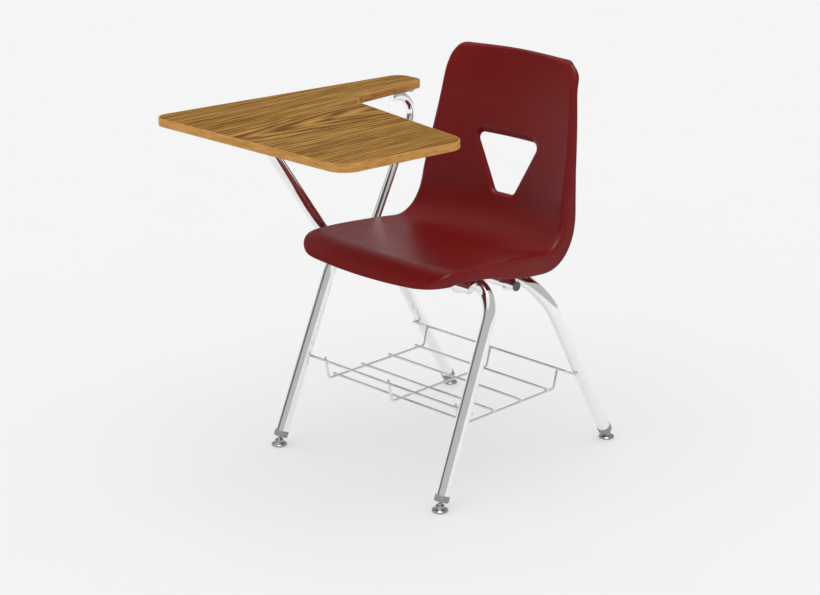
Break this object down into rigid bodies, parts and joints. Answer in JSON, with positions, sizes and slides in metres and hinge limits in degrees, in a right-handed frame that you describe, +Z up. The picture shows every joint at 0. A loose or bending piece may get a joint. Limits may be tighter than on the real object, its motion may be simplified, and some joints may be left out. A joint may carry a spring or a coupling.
{
  "type": "tablet arm school chair",
  "caption": "School chair desk with a moulded shell seat on a bent-tube frame, a fixed laminate tablet at the sitter's right, a wire book rack and tilting floor glides.",
  "frame": {"origin": "floor point under the centre of the whole object's bounding box", "axes": "+Z up, -Y towards the front of the seat, +X towards the sitter's left"},
  "size_m": [0.6117, 0.6876, 0.7787],
  "materials": {
    "shell_plastic": "satin moulded maroon plastic with a very fine texture",
    "chrome_tube": "bright chrome plate",
    "chrome_wire": "bright chrome-plated wire",
    "zinc_steel": "zinc-plated steel",
    "brass_insert": "machined brass",
    "dark_plastic": "dark grey moulded plastic",
    "grey_plastic": "grey moulded plastic",
    "tablet_board": "pressed wood board",
    "oak_laminate": "satin oak-pattern laminate",
    "backing_sheet": "plain brown backing sheet",
    "edge_band": "satin oak-coloured edge band",
    "glide_nickel": "nickel-plated pressed steel",
    "glide_nylon": "off-white nylon"
  },
  "bodies": {
    "chair": {"seat_shell": "shell_plastic", "front_leg_frame": "chrome_tube", "rear_leg_frame": "chrome_tube", "stretcher_left": "chrome_tube", "stretcher_right": "chrome_tube", "front_arm_tube": "chrome_tube", "rear_arm_tube": "chrome_tube", "front_arm_tube_plug": "dark_plastic", "rear_arm_tube_plug": "dark_plastic", "seat_screws": "zinc_steel", "seat_screw_saddles": "zinc_steel", "seat_inserts": "brass_insert", "tablet_core": "tablet_board", "tablet_top_laminate": "oak_laminate", "tablet_backing_sheet": "backing_sheet", "tablet_edge_band": "edge_band", "front_tablet_plate": "zinc_steel", "rear_tablet_plate": "zinc_steel", "front_tablet_screws": "zinc_steel", "rear_tablet_screws": "zinc_steel", "rack_front_rail": "chrome_wire", "rack_rear_rail": "chrome_wire", "rack_floor_wires": "chrome_wire", "rack_cross_wire_left": "chrome_wire", "rack_cross_wire_middle": "chrome_wire", "rack_cross_wire_right": "chrome_wire", "front_left_ferrule": "grey_plastic", "front_left_stud": "zinc_steel", "front_right_ferrule": "grey_plastic", "front_right_stud": "zinc_steel", "rear_left_ferrule": "grey_plastic", "rear_left_stud": "zinc_steel", "rear_right_ferrule": "grey_plastic", "rear_right_stud": "zinc_steel"},
    "front_left_glide": {"front_left_glide_cup": "glide_nickel", "front_left_glide_pad": "glide_nylon"},
    "front_right_glide": {"front_right_glide_cup": "glide_nickel", "front_right_glide_pad": "glide_nylon"},
    "rear_left_glide": {"rear_left_glide_cup": "glide_nickel", "rear_left_glide_pad": "glide_nylon"},
    "rear_right_glide": {"rear_right_glide_cup": "glide_nickel", "rear_right_glide_pad": "glide_nylon"}
  },
  "joints": [
    {"name": "front_left_glide_tilt", "type": "hinge", "parent": "chair", "child": "front_left_glide", "pos_m": [0.29037, -0.16744, 0.011], "axis": [1, 0, 0], "range_deg": [-12, 12]},
    {"name": "front_right_glide_tilt", "type": "hinge", "parent": "chair", "child": "front_right_glide", "pos_m": [-0.15963, -0.16744, 0.011], "axis": [1, 0, 0], "range_deg": [-12, 12]},
    {"name": "rear_left_glide_tilt", "type": "hinge", "parent": "chair", "child": "rear_left_glide", "pos_m": [0.28537, 0.32826, 0.011], "axis": [1, 0, 0], "range_deg": [-12, 12]},
    {"name": "rear_right_glide_tilt", "type": "hinge", "parent": "chair", "child": "rear_right_glide", "pos_m": [-0.15463, 0.32826, 0.011], "axis": [1, 0, 0], "range_deg": [-12, 12]}
  ]
}
